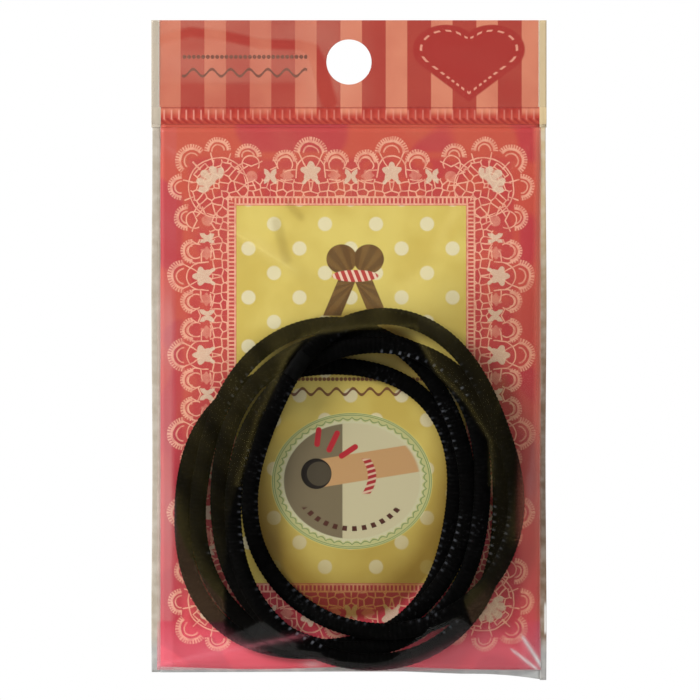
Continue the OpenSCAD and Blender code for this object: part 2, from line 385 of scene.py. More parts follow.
def marked(piece, name, values):
    """A number at every point of a piece, read by its material."""
    piece.data.attributes.new(name, "FLOAT", "POINT").data.foreach_set(
        "value", np.asarray(values, np.float32).ravel())


def bump(x, z, x0, z0, wide, tall, lean=0.0):
    """A smooth round hill, 1 at its middle, with its long side turned by lean radians."""
    a = (x - x0) * np.cos(lean) + (z - z0) * np.sin(lean)
    b = (z - z0) * np.cos(lean) - (x - x0) * np.sin(lean)
    return np.exp(-(a / wide) ** 2 - (b / tall) ** 2)


def crease(x, z, ends, width, fade):
    """A ridge along the line between two points, a rounded tent across it, fading at the ends."""
    (x0, z0), (x1, z1) = ends
    length = np.hypot(x1 - x0, z1 - z0)
    ux, uz = (x1 - x0) / length, (z1 - z0) / length
    along = (x - x0) * ux + (z - z0) * uz
    off = np.abs((z - z0) * ux - (x - x0) * uz)
    past = np.maximum(0, np.maximum(-along, along - length))
    tent = np.sqrt((off / width) ** 2 + 0.04) - 0.2
    return np.exp(-1.6 * tent) * np.exp(-(past / fade) ** 2)


def creases(x, z, *table):
    """The sum of creases, each a row of height, x and z of both ends, width and fade."""
    return sum(height * crease(x, z, ((x0, z0), (x1, z1)), width, fade)
               for height, x0, z0, x1, z1, width, fade in table)


def ripple(x, z, long, lean, seed):
    """Soft waves of about that length: the sum of five sines with seeded leans and phases."""
    dice = np.random.default_rng(seed)
    total = np.zeros_like(x)
    for _ in range(5):
        angle = lean + dice.normal(0, 0.35)
        wave = 2 * np.pi / (long * dice.uniform(0.7, 1.5))
        total += np.sin(wave * (x * np.cos(angle) + z * np.sin(angle)) + dice.uniform(0, 6.28))
    return total / 5


def inset(x, z, half, top, low):
    """How far a place is inside an upright rectangle: the least of its distances from a side."""
    return np.minimum(np.minimum(half - np.abs(x), top - z), z - low)


def header_lift(x, z):
    """How far the header film stands off the card: blisters, a fold round the big blister."""
    lift = (0.34 * bump(x, z, -20.0, -0.6, 11.0, 4.6, -0.05)
            + 0.16 * bump(x, z, -24.0, 5.4, 9.0, 1.6, -0.1)
            + 0.20 * bump(x, z, 14.0, 2.5, 10.0, 4.0, 0.15)
            + 0.14 * bump(x, z, 28.0, -2.0, 5.0, 4.5, 0.4)
            + creases(x, z, (0.10, -12.0, 4.6, -7.5, -5.0, 0.8, 4.0),
                      (0.07, -33.0, 3.8, -16.0, 2.4, 0.6, 4.0))
            + 0.035 * (1 + ripple(x, z, 9.0, 1.2, 3)))
    edge = np.minimum(1, inset(x, z, HALF_W, TOP_Z, FLUTE_TOP) / 2)
    rim = np.minimum(1, (np.hypot(x, z) - HOLE_R) / 1.5)
    return lift * np.clip(edge, 0.05, 1) * np.clip(rim, 0.05, 1)


def header_ring(share):
    """Header points: share 0 is the hole's edge and 1 the header's edge, straight out between."""
    wide, tall = 2 * HALF_W, TOP_Z - FLUTE_TOP
    step = 0.6
    across, up = round(wide / step), round(tall / step)
    top = np.linspace(-HALF_W, HALF_W, across, endpoint=False)
    down = np.linspace(TOP_Z, FLUTE_TOP, up, endpoint=False)
    edge_x = np.concatenate([top, np.full(up, HALF_W), -top, np.full(up, -HALF_W)])
    edge_z = np.concatenate([np.full(across, TOP_Z), down, np.full(across, FLUTE_TOP),
                             TOP_Z + FLUTE_TOP - down])
    away = np.hypot(edge_x, edge_z)
    stretch = HOLE_R / away + (1 - HOLE_R / away) * share[:, None]
    return edge_x * stretch, edge_z * stretch


def clear_film(f):
    """Clear film: light goes through, a little is scattered where it is hazed, and it mirrors
    more the more it is turned away: 0.009 + 0.4 (1 - cosine)^5 at each face."""
    fine = f.noise(f.place(), 900.0, 3.0)
    clear = f.node("BsdfTransparent", None, {"Color": (0.995, 0.995, 0.99, 1.0)})
    milk = f.solid(f.mark("veil", "Color"), 0.4, Specular_IOR_Level=0.2)
    body = f.node("MixShader", None, {0: f.mark("haze"), 1: clear, 2: milk})
    dent = f.node("Bump", None, {"Strength": 0.1, "Distance": 0.0001, "Height": fine})
    shine = f.node("BsdfGlossy", None, {"Color": (1, 1, 1, 1), "Roughness": 0.07,
                                        "Normal": dent})
    turned = f.node("LayerWeight", None, {"Blend": 0.5, "Normal": dent}, out="Facing")
    f.shown(f.node("MixShader", None, {0: turned ** 5.0 * 0.4 + 0.009, 1: body, 2: shine}))


def veiled(piece, haze, veil):
    """Haze and its colour at every point of a sheet: the outer face has them, the inner none."""
    clear = np.zeros(haze.size)
    marked(piece, "haze", np.concatenate([haze.ravel(), clear]))
    colour = np.ones((2 * haze.size, 4), np.float32)
    colour[:, :3] = np.concatenate([np.broadcast_to(veil, (*haze.shape, 3)).reshape(-1, 3)] * 2)
    piece.data.attributes.new("veil", "FLOAT_COLOR", "POINT").data.foreach_set(
        "color", colour.ravel())


def near_line(x, z, places):
    """Distance from every point to a line through some places."""
    best = np.full(x.shape, np.inf)
    for (x0, z0), (x1, z1) in zip(places, places[1:]):
        run = (x1 - x0) ** 2 + (z1 - z0) ** 2
        part = np.clip(((x - x0) * (x1 - x0) + (z - z0) * (z1 - z0)) / run, 0, 1)
        best = np.minimum(best, np.hypot(x - x0 - part * (x1 - x0), z - z0 - part * (z1 - z0)))
    return best


PALE, CREAM = (0.95, 0.50, 0.36), (0.95, 0.80, 0.30)
WARM, PINK, OLIVE = (0.86, 0.50, 0.28), (0.90, 0.62, 0.60), (0.62, 0.50, 0.15)
CORAL, ROSE = (1.0, 0.30, 0.20), (1.0, 0.26, 0.34)
LEFT_EDGE, LOW_EDGE = ink(190, 178, 160)[:3], ink(176, 180, 182)[:3]
RIGHT_EDGE, RIGHT_EDGE_SHADED = ink(216, 192, 148)[:3], ink(134, 102, 74)[:3]


def edge_tone(x, z):
    """The colour of the clear margins: warm white on the left, and browner down the right, where
    the brown is painted shade.
    """
    right = RIGHT_EDGE + np.clip((-z - 15) / 45, 0, 1)[..., None] * np.subtract(
        RIGHT_EDGE_SHADED, RIGHT_EDGE)
    return np.where(x[..., None] < 0, LEFT_EDGE, right)


def header_haze_and_reflection(x, z):
    """Haze on the header film, stronger on the left as painted reflection of the soft box: none
    along a loose fold round the left blister, and none low on its left, where the film lies tight
    on the card."""
    fold = near_line(x, z, ((-33.5, 3.9), (-28.2, 5.3), (-22.0, 4.6), (-15.8, 3.2), (-8.7, 3.0),
                            (-6.6, 2.1), (-5.5, -0.5), (-4.3, -5.0), (-3.7, -6.9)))
    hazy = np.clip((fold - 0.6 - 0.7 * np.clip((x + 8) / 4, 0, 1)) / 0.6, 0, 1)
    low = np.clip((-z - 3.3) / 0.8, 0, 1) * np.clip((-7.0 - x) / 3, 0, 1)
    hazy = hazy * (1 - 0.7 * low) * (0.8 + 0.35 * ripple(x, z, 8.0, 1.2, 13))
    # Stronger on the left: painted reflection of the soft box high on the left.
    return (0.18 - 0.15 * np.clip((x + 3) / 8, 0, 1)) * np.clip(hazy, 0, 1.2)


film_material = finished("clear_film", clear_film)
ring_x, ring_z = header_ring(np.linspace(0, 1, 110) ** 1.05)
for side, node, at in ((-1, "header_front_film", CARD_FRONT), (1, "header_back_film", CARD_BACK)):
    # The back film's places run the other way round, so that its faces look backwards.
    x, z = ring_x[:, ::-side], ring_z[:, ::-side]
    near = at + side * (0.01 + header_lift(side * -x, z))
    sheet = closed_sheet(node + "_sheet", film_material, x, z, near + side * FILM_THIN, near,
                         loop=True)
    margin = 0.75 * np.clip((np.abs(x) - MARGIN_FROM) / 0.3, 0, 1)
    veiled(sheet, header_haze_and_reflection(x, z) * (side < 0) + margin,
           np.where(np.abs(x[..., None]) > MARGIN_FROM - 0.1, edge_tone(x, z), PALE))
    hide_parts(node)
    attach(sheet, "header")

# --- fluted seal -------------------------------------------------------------------------
# Both films and the print are pressed together between fluted jaws: a row of upright pleats,
# with a narrow neck at the foot of each one.
FLUTE_PITCH, FLUTES, POINTS_A_FLUTE = 1.31, 54, 12
# Rows stand closer together towards the foot, where the necks are.
seal_x = np.linspace(-HALF_W, HALF_W, FLUTES * POINTS_A_FLUTE + 1)
seal_z = np.array([0.0, 0.02, 0.12, 0.3, 0.45, 0.6, 0.68, 0.76, 0.84, 0.92, 0.98, 1.0])
seal_z = FLUTE_TOP + (FLUTE_LOW - FLUTE_TOP) * seal_z


def flute(x, z):
    """Height of the pleats: a rounded square wave, sharper and leaning at the seal's foot."""
    foot = np.clip((-10.0 - z) / 1.0, 0, 1)
    wave = np.cos(2 * np.pi * (x + 0.12 * (z + 8.0) * foot) / FLUTE_PITCH)
    body = 0.5 + 0.5 * np.tanh(2.2 * wave + 0.4)
    neck = 0.5 + 0.5 * np.tanh(3.5 * wave - 1.2)
    ends = np.clip(np.minimum(FLUTE_TOP - z, z - FLUTE_LOW) / 0.2, 0, 1)
    return 0.035 * (body * (1 - foot) + neck * foot) * (0.3 + 0.7 * ends)


def print_seal(f):
    """The stripes run down into the pleats: painted highlights on their crests, stronger on the
    left towards the lamp, painted shade in the necks at their foot, and a darker line along the
    top.
    """
    x, z, place = on_sheet(f)
    paint = f.tint(f.ease(z, -8.6, -9.8), striped(f, x, z, place), ink(190, 68, 52))
    lean = f.ease(z, -10.0, -11.0)
    wave = f.math("COSINE", (x + (z + 8.0) * 0.3 * lean) * (2 * np.pi / FLUTE_PITCH))
    # Painted highlights on the pleats' crests, stronger on the left towards the lamp, and painted
    # shade in the necks.
    highlight_to_left = f.ease(x, -14.0, -30.0) * 0.35 + 0.35
    ridge = f.ease(wave, 0.6, 0.95) * f.ease(z, -8.3, -8.7) * f.ease(z, -10.5, -10.0)
    neck = f.ease(wave, 0.1, -0.5) * f.ease(z, -9.8, -10.1) * f.ease(z, -10.98, -10.8)
    top_line = f.ease(abs(z + 8.12), 0.16, 0.06)
    paint = f.tint(ridge * highlight_to_left, paint, ink(232, 160, 142))
    paint = f.tint(neck * 0.6, paint, ink(146, 26, 28))
    paint = f.tint(top_line * 0.6, paint, ink(140, 44, 42))
    beyond = f.ease(abs(x - 0.2), MARGIN_FROM, MARGIN_FROM + 0.1)
    edge_paint = f.tint(f.math("GREATER_THAN", x, 0.0), (*LEFT_EDGE, 1), (*RIGHT_EDGE, 1))
    paint = f.tint(beyond, plain_back(f, paint), edge_paint)
    worn = f.noise(place, 1.4, 3.0)
    f.shown(f.solid(paint, f.ease(worn, 0.2, 0.8) * 0.2 + 0.3, (worn, 0.1, 0.1),
                    Coat_Weight=0.1))


gx, gz = np.meshgrid(seal_x, seal_z)
thick = 0.2 + 0.07 * np.clip(np.minimum(gz - FLUTE_LOW, FLUTE_TOP - gz) / 0.8, 0, 1)
fluted = closed_sheet("fluted_seal_pleats", finished("fluted_print", print_seal), gx, gz,
                      -thick - flute(gx, gz), thick + flute(-gx, gz))
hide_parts("fluted_seal")
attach(fluted, "header")

# --- backing sheet -----------------------------------------------------------------------
# Printed card behind the bands: a coral ground, a lace frame with a hemstitched inner edge,
# and a spotted yellow panel with a bow and an oval badge. Its free bottom edge bows a little.
SHEET_MID, SHEET_HALF, SHEET_TOP, SHEET_LOW = 0.2, 33.6, -11.6, -107.55
PANEL_X, PANEL_Z, PANEL_HALF_W, PANEL_HALF_H = 0.4, -58.89, 20.33, 33.43
LACE_PITCH, NET_CELL, RUNG_PITCH, DOT_WIDE, DOT_TALL = 14.35, 1.45, 0.72, 9.04, 8.68
BADGE_X, BADGE_Z, BADGE_HALF_W, BADGE_HALF_H = 0.53, -74.25, 14.2, 12.05
BOW_X, BOW_Z, DISC_Z = 1.1, -37.9, -72.95
RED, DARK_RED, LACE = ink(200, 26, 46), ink(184, 38, 46), ink(244, 184, 156)


def print_backing(f):
    """The whole print, from the ground up: lace, hemstitch, panel, bow, garland and badge, with
    painted shade laid over it at the end.
    """
    x, z, place = on_sheet(f)
    drift = f.noise(place, 0.4, 2.0, out="Color")
    shake = [(f.part(drift, k) - 0.5) * 0.5 for k in (0, 1)]

    # How far out of the panel, and how far along its nearest side, from that side's middle.
    off_x, off_z = abs(x - PANEL_X) - PANEL_HALF_W, abs(z - PANEL_Z) - PANEL_HALF_H
    out, back = f.most(off_x, off_z), f.least(off_x, off_z)
    on_end = f.math("GREATER_THAN", off_z, off_x)
    along = (abs(z - PANEL_Z) + on_end * (abs(x - PANEL_X) - abs(z - PANEL_Z)))
    along = along * (1.0 + (1.0 - on_end) * 0.0286)
    corner = f.math("GREATER_THAN", back, -5.95)
    straight = 1.0 - corner
    ground = f.tint(f.ease(z, -15.0, -105.0), ink(201, 76, 58), ink(198, 58, 74))
    # Lighter rose at the foot: painted light that makes up for the dimmer light there.
    ground = f.tint(f.ease(z, -90.0, -104.0) * 0.8, ground, ink(228, 66, 86))
    # Darker crimson patches on the outer ground: painted shade where the film lies tight and shows
    # no pale veil.
    tight = f.ease(f.noise(place, 0.055, 1.0), 0.55, 0.59) * f.ease(out, 9.0, 10.0)
    ground = f.tint(tight * 0.7, ground, ink(186, 38, 62))
    inner = f.ease(out, 9.2, 7.6) * f.ease(f.noise(place, 0.3, 2.0), 0.3, 0.6) * 0.75
    ground = f.tint(inner, ground, ink(190, 46, 58))

    def plane(u, t):
        """What lace is made of, in a plane: the distance from a place, to a ring, to a thread
        through some places and to a net, and the strength of a scallop."""
        spot = f.node("CombineXYZ", None, {0: u, 1: t})

        def away(*place):
            return f.vector("DISTANCE", spot, (*place, 0.0))

        def ring(cu, ct, radius):
            return abs(away(cu, ct) - radius)

        def thread(*places):
            runs = []
            for a, b in zip(places, places[1:]):
                run = np.subtract(b, a)
                share = (run / (run @ run)).tolist()
                start = f.vector("SUBTRACT", spot, (*a, 0.0), out=0)
                part = f.vector("DOT_PRODUCT", start, (*share, 0.0))
                foot = f.node("VectorMath", {"operation": "SCALE"},
                              {0: (*run.tolist(), 0.0), 3: f.math("ADD", part, 0.0, clamp=True)})
                runs.append(f.vector("DISTANCE", start, foot))
            return f.least(*runs)

        def scallop(cu, ct, radius, low):
            """Short threads round a close ring, with a thin ring inside, cut off straight."""
            far = away(cu, ct)
            tick = f.math("SINE", f.math("ARCTAN2", u - cu, t - ct) * round(radius * 12))
            spokes = f.ease(far, radius + 0.05, radius - 0.08) * f.ease(
                far, radius * 0.68, radius * 0.72) * (f.ease(tick, -0.4, 0.6) * 0.75 + 0.2)
            close = f.ease(abs(far - radius * 0.72), 0.32, 0.12) * 0.9
            thin = f.ease(abs(far - radius * 0.45), 0.2, 0.08) * 0.75
            return f.most(spokes, close, thin) * f.ease(t - ct, low - 0.25, low + 0.05)

        def net():
            """Distance to the threads of an uneven net."""
            return NET_CELL * f.node("TexVoronoi", {"voronoi_dimensions": "2D",
                                                    "feature": "DISTANCE_TO_EDGE"},
                                     {"Vector": spot, "Scale": 1 / NET_CELL, "Randomness": 0.9})

        return away, ring, thread, scallop, net

    # Straight runs: u counts from the crown of each repeat, t from the panel outwards.
    u = abs(f.math("FRACT", along / LACE_PITCH) - 0.5) * LACE_PITCH + shake[0]
    t = out + shake[1]
    away, ring, thread, scallop, net = plane(u, t)
    threads = f.least(
        ring(0.0, 6.3, 2.5) + f.ease(t, 6.7, 6.4), net() + f.ease(t, 4.6, 5.2),
        thread((2.2, 9.5), (1.3, 7.6), (0.6, 6.6)), thread((3.2, 9.2), (2.4, 7.4), (2.6, 5.0)),
        ring(4.6, 7.2, 1.35) + f.ease(t, 6.5, 6.2), thread((2.7, 6.3), (4.1, 6.2), (4.6, 5.9)),
        thread((6.6, 8.2), (5.9, 6.9), (7.2, 6.3)), thread((3.3, 4.6), (4.8, 4.4), (5.3, 4.6)))
    picot = f.most(scallop(0.0, 9.25, 3.05, 0.2), scallop(4.55, 7.75, 2.25, 0.1))
    petals = f.math("COSINE", f.math("ARCTAN2", u, t - 6.0) * 5.0) * 0.32
    flower = f.most(f.ease(away(0.0, 6.0) - petals, 1.62, 1.42),
                    f.ease(thread((0.5, 5.2), (1.25, 4.1)), 0.38, 0.26))
    lobes = f.math("COSINE", f.math("ARCTAN2", t - 5.3, u - 4.2) * 6.0) * 0.16
    rosette = f.ease(away(4.2, 5.3) - lobes, 1.15, 0.9)
    wings = f.ease(ring(5.85, 5.2, 0.95), 0.5, 0.34) * f.ease(u, 5.95, 6.2)

    # Corners: a fan of close work with scallops round it, the same on each side of the
    # diagonal. w counts from the panel's corner outwards, along the other side.
    w, v = back + shake[0], out + shake[1]
    away, ring, thread, scallop, net = plane(w, v)
    turned = f.math("ARCTAN2", v - w, v + w - 6.4)
    from_fan = away(3.2, 3.2)
    spoke = abs(f.math("SINE", turned * 5.5)) * from_fan / 5.5
    corner_threads = f.least(
        net() + f.ease(f.least(v, from_fan - 0.2), 4.7, 5.3), ring(3.2, 3.2, 5.3),
        spoke + f.ease(from_fan, 4.6, 4.3) + f.ease(from_fan, 6.4, 6.8),
        thread((0.4, 6.6), (-1.2, 7.6), (-2.6, 7.0), (-4.5, 7.9)),
        ring(-2.5, 7.4, 1.5) + f.ease(v, 6.7, 6.4), thread((-0.2, 6.0), (-1.8, 5.4)))
    corner_picot = f.most(scallop(3.3, 9.8, 2.4, 0.0), scallop(-2.1, 8.7, 2.35, 0.0),
                          scallop(8.0, 8.0, 2.9, -1.9) * f.ease(w + v, 15.4, 16.0))
    vein = f.math("COSINE", turned * 13.0)
    edge = vein * 0.22 - turned * turned * 0.7
    fan = f.ease(from_fan - edge, 4.1, 3.9) * f.ease(abs(turned), 1.2, 1.05) * f.ease(
        from_fan - abs(turned) * 0.8, 0.7, 1.1)
    fan = fan * (1.0 - f.ease(vein, -0.6, -0.9) * f.ease(from_fan, 2.4, 2.8) * 0.45)
    corner_rosette = f.ease(away(-2.7, 5.2), 1.1, 0.85)
    corner_wing = f.ease(ring(-4.68, 5.2, 0.95), 0.5, 0.34) * f.ease(w, -4.78, -5.03)

    line = f.ease(f.least(threads + corner, corner_threads + straight), 0.17, 0.06)
    soft = f.most(picot * straight, corner_picot * corner)
    faint = f.most(rosette * straight, corner_rosette * corner) * 0.45
    solid = f.most(f.most(flower, wings) * straight, f.most(fan, corner_wing) * corner)
    # Hemstitch: two threads with rungs, right round the panel.
    rung = abs(f.math("FRACT", along / RUNG_PITCH) - 0.5) * RUNG_PITCH
    ladder = f.least(abs(out - 0.25), abs(out - 1.5),
                     rung + f.ease(out, 0.3, 0.2) + f.ease(out, 1.45, 1.55))
    stitch = f.ease(ladder, 0.22, 0.08) * f.ease(out, 1.85, 1.7)
    beyond = f.ease(out, 1.5, 1.62)
    worn = f.ease(f.noise(place, 0.8, 3.0), 0.3, 0.6) * 0.36 + 0.52
    paint = f.tint(f.most(f.most(line, soft, faint) * beyond, stitch) * worn, ground, LACE)
    weave = f.ease(f.noise(place, 9.0, 2.0), 0.35, 0.65) * 0.35 + 0.6
    paint = f.tint(solid * beyond * weave, paint, ink(224, 204, 176))

    # The spotted panel.
    yellow = f.tint(f.ease(f.noise(place, 0.08, 3.0), 0.35, 0.65), ink(220, 200, 104),
                    ink(206, 182, 84))

    def dots(shift):
        """Distance to the nearest of the dots in every other row."""
        a = f.math("FRACT", (x + 13.29) / DOT_WIDE + 10.0 + shift) - 0.5
        b = f.math("FRACT", (z + 28.7) / DOT_TALL + 10.0 + shift) - 0.5
        return f.hypot(a * DOT_WIDE, b * DOT_TALL)

    spots = f.least(dots(0.5), dots(0.0))
    panel = f.tint(f.ease(spots, 1.4, 1.1) * 0.85, yellow, ink(226, 218, 184))
    away, _, thread, _, _ = plane(x, z)

    def oval(cx, cz, half_w, half_h):
        """1 on the outline of an oval, less inside."""
        return f.hypot((x - cx) / half_w, (z - cz) / half_h)

    def inside(shape, soft_edge=0.03):
        return f.ease(shape, 1.0 + soft_edge, 1.0 - soft_edge)

    def twist(wave):
        """The slanted red and white stripes of a twisted band."""
        return f.tint(f.ease(f.math("SINE", wave), 0.1, 0.5), DARK_RED, ink(236, 200, 180))

    # A bow tied with a twisted band.
    loops = f.most(*(inside(oval(BOW_X + k, BOW_Z + 3.0, 2.7, 2.6)) for k in (-2.4, 2.4)))
    tails = f.ease(abs(abs(x - BOW_X) - (-z - 36.6) * 0.42 - 0.6), 1.7, 1.5) * f.ease(
        z, -37.4, -37.8) * f.ease(z, -45.2, -44.8)
    pleat = f.math("SINE", f.math("ARCTAN2", z + 39.0, x - BOW_X) * 16.0)
    brown = f.tint(f.ease(pleat, -0.6, 0.8) * 0.7, ink(98, 60, 22), ink(122, 84, 36))
    panel = f.tint(f.most(loops, tails), panel, brown)
    knot = oval(BOW_X, BOW_Z, 4.1, 1.05)
    panel = f.tint(inside(knot, 0.05), panel, twist((x + z * 0.4) * 5.2))
    # A garland of dots over a wavy stem, across the panel under the bow.
    beads = garland(f, x, z + 58.4, waves=2.1, swing=0.55, thick=0.34, pitch=0.75, shift=0.37,
                    bead_up=2.2, bead=0.4)
    panel = f.tint(beads * f.ease(abs(x - 0.8), 12.4, 12.2) * 0.9, panel, ink(110, 46, 26))

    # The badge: two thin green lines, a row of small scallops and a pale field.
    badge = oval(BADGE_X, BADGE_Z, BADGE_HALF_W, BADGE_HALF_H)
    turn_at = f.math("ARCTAN2", (z - BADGE_Z) / BADGE_HALF_H, (x - BADGE_X) / BADGE_HALF_W)
    panel = f.tint(inside(badge, 0.01), panel, ink(208, 210, 150))
    hang = 0.935 - abs(f.math("SINE", turn_at * 26.0)) * 0.035
    fringe = f.ease(abs(badge - hang), 0.012, 0.005)
    edges = f.ease(f.least(abs(badge - 0.992), abs(badge - 0.968)), 0.009, 0.003)
    panel = f.tint(f.most(fringe, edges) * 0.85, panel, ink(122, 156, 98))
    field = inside(badge / (hang - 0.022), 0.008)
    cream = f.tint(f.ease(x, -1.25, -1.05), ink(134, 122, 96), ink(218, 212, 180))
    panel = f.tint(field, panel, f.tint(f.ease(badge, 0.84, 0.86), cream, ink(222, 222, 190)))
    # In the field: a ribbon with a dark disc, three dashes, a twisted cuff and a row of beads.
    ribbon = f.ease(abs(z + 72.6 - (x + 3.4) * 0.16), 2.6, 2.45) * f.ease(x, -5.4, -5.2)
    panel = f.tint(ribbon * inside(badge / 0.85), panel, ink(212, 168, 118))
    panel = f.tint(f.ease(away(-5.8, DISC_Z), 2.76, 2.66), panel, ink(34, 26, 20))
    panel = f.tint(f.ease(away(-5.3, DISC_Z), 2.2, 2.1), panel, ink(86, 78, 62))
    strokes = f.least(thread((-5.36, -65.2), (-5.65, -67.7)), thread((-2.1, -65.8), (-3.5, -68.7)),
                      thread((1.1, -68.2), (-1.3, -69.8)))
    panel = f.tint(f.ease(strokes, 0.56, 0.44), panel, RED)
    rise = (z + 73.4) / 3.1
    cuff = f.most(abs(x - 4.1 + rise * rise * 1.1) / 0.75, abs(rise))
    panel = f.tint(inside(cuff, 0.06), panel, twist((z - x * 0.3) * 6.5))
    beads = f.ease(abs(badge / 0.7 - 1.0), 0.06, 0.045) * f.ease(
        f.math("SINE", turn_at * 36.0), -0.1, 0.2) * f.ease(z, -78.6, -79.2)
    panel = f.tint(beads, panel, ink(92, 44, 30))

    paint = f.tint(f.ease(out, 0.08, -0.04), paint, panel)
    # Painted shade, multiplied into the print: a ring of it inside the loops round the badge,
    # stronger high and low in the ring, an even fainter one over the badge, a patch down the right
    # of the panel and two short strokes under film folds high on the left.
    round_badge = oval(0.6, -71.6, 18.2, 25.5)
    painted_shade = (f.ease(round_badge, 0.68, 0.98) * 0.4 + 0.44) * f.ease(round_badge, 1.12, 1.02)
    shade_by_height = f.ease(z, -55.0, -90.0) * 0.55 + f.ease(z, -56.0, -51.0) * 0.5 + 0.7
    painted_shade = f.most(painted_shade * shade_by_height * f.ease(badge, 0.98, 1.02),
                    f.ease(badge, 1.02, 0.98) * 0.45,
                    f.ease(x, 9.0, 19.0) * f.ease(z, -32.0, -46.0) * 0.34,
                    f.ease(thread((-12.8, -28.4), (-11.1, -35.0)), 1.5, 0.2) * 0.3,
                    f.ease(thread((-10.6, -25.2), (-8.6, -27.4)), 1.2, 0.2) * 0.25)
    paint = f.node("Mix", {"data_type": "RGBA", "blend_type": "MULTIPLY"},
                   {0: painted_shade, 6: paint, 7: (0.34, 0.26, 0.07, 1.0)}, out=2)
    paper(f, plain_back(f, paint), place, 5.0, 0.42)


backing_material = finished("backing_print", print_backing)


def sheet_low(x):
    """The bottom edge: straight but for a slow bow, lowest at the right."""
    return SHEET_LOW + 0.45 * np.cos((x - 4.0) / 13.0) ** 2 - 0.25 * np.clip(x / 34.0, 0, 1) ** 3


sx = SHEET_MID + np.linspace(-SHEET_HALF, SHEET_HALF, 85)[None, :]
sz = SHEET_TOP + (sheet_low(sx) - SHEET_TOP) * np.linspace(0, 1, 97)[:, None]
sheet = closed_sheet("backing_card", backing_material, sx, sz, CARD_FRONT, CARD_BACK)
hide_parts("backing_sheet")
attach(sheet, "pouch")

# --- fold --------------------------------------------------------------------------------
# Under the fluted seal the printed card is scored and runs on into the pouch, so the header
# can fold on this line. The films run over it on both faces.
fold_z = np.linspace(FLUTE_LOW, SHEET_TOP, 7)[:, None]
fold_x = SHEET_MID + np.linspace(-SHEET_HALF, SHEET_HALF, 61)[None, :]
score = 0.015 * np.exp(-((fold_z + 11.3) / 0.12) ** 2)
strip = closed_sheet("fold_strip", backing_material, fold_x, fold_z, CARD_FRONT + score,
                     CARD_BACK - score)
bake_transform(strip)
# The films have close columns where the print ends and their clear margins begin.
fold_x = np.linspace(-33.3, 33.7, 61)
fold_x = np.concatenate([[-HALF_W, -33.5], fold_x, [33.9, HALF_W]])[None, :]
gz, gx = np.broadcast_arrays(fold_z, fold_x)
margin = 0.72 * np.clip((np.abs(gx - SHEET_MID) - MARGIN_FROM) / 0.2, 0, 1)
for side, name in ((-1, "fold_film_front"), (1, "fold_film_back")):
    web = closed_sheet(name, film_material, gx[:, ::-side], gz, side * 0.19, side * 0.15)
    veiled(web, 0.02 + margin, edge_tone(gx, gz))
    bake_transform(web)

# --- bands -------------------------------------------------------------------------------
# Five equal loops dropped into the bag in a pile. Each is a knitted tube of black yarn with
# raised courses across it, over a rubber core, with one conductive yarn along the edge.
LOOP_R, STRAND_W, STRAND_T = 25.6, 2.9, 1.5
BAND_CLEAR, PILE_GAP, STATIONS, CLIMB = 0.2, 0.1, 56, 4
# A strand with nothing under it lies this far off the card.
LYING = BAND_CLEAR + STRAND_T / 2
BUNDLE_Z = -73.488
LOOP_CENTRES = np.array([[-0.21, -0.24], [-0.10, -0.05], [0.01, -0.11], [0.12, -0.18],
                         [0.235, 0.02]])
LOOP_SHAPES = np.array([[0.93, 1.07, 1.00, 1.00, 0.94, 1.02, 0.96, 0.95],
                        [0.92, 0.98, 1.10, 0.99, 0.93, 1.10, 1.12, 1.01],
                        [0.91, 1.04, 1.07, 0.99, 0.91, 1.02, 1.08, 1.01],
                        [0.93, 1.06, 1.09, 0.99, 0.92, 1.02, 1.09, 1.05],
                        [0.90, 0.93, 1.09, 0.92, 0.90, 1.04, 1.08, 1.04]])
SPLICE_ANGLES = np.radians([110, 248, 60, 292, 128])
SPLICE_TURN = 5.0 / 2 / LOOP_R
# The knit: courses round a loop, and how strongly each band's seam thread shows.
COURSES, RINGS_A_COURSE, SIDES = 204, 4, 14
SEAM_SHOWS, SEAM_AT, SEAM_WIDE = (0.2, 0.35, 0.15, 0.8, 0.25), 0.78, 0.14
SOOT, COAL = (0.0003, 0.0003, 0.0003, 1), (0.003, 0.003, 0.003, 1)
YARN_SHEEN, SEAM_THREAD = (0.03, 0.031, 0.034, 1), (0.15, 0.16, 0.19, 1)


def loop_point(band, angle):
    """Middle of a strand, across and up: a closed curve through eight radii, an eighth of a
    turn apart, joined by sin(4a)cos(a/2) / 8sin(a/2)."""
    angle = np.asarray(angle, float)
    gap = angle[..., None] - np.arange(8) * np.pi / 4
    low = np.sin(gap / 2)
    flat = np.abs(low) < 1e-6
    kernel = np.where(flat, 1.0, np.sin(4 * gap) * np.cos(gap / 2) / (8 * np.where(flat, 1, low)))
    radius = LOOP_R * (kernel * LOOP_SHAPES[band]).sum(-1)
    centre = LOOP_R * LOOP_CENTRES[band]
    return np.stack([centre[0] + radius * np.cos(angle), centre[1] + radius * np.sin(angle)], -1)


def height_over(points, path, heights):
    """Height that a strand needs at some points to clear another: two equal ellipses side by
    side touch where (across / width)^2 + (up / thickness)^2 is 1."""
    run = np.roll(path, -1, 0) - path
    part = np.clip(((points[:, None] - path) * run).sum(-1) / (run ** 2).sum(-1), 0, 1)
    away = np.linalg.norm(points[:, None] - path - part[..., None] * run, axis=-1)
    width, over = STRAND_W + PILE_GAP, STRAND_T + PILE_GAP
    base = heights + (np.roll(heights, -1) - heights) * part
    need = np.where(away < width, base + over * np.sqrt(np.clip(1 - (away / width) ** 2, 0, 1)),
                    LYING)
    return need.max(1)


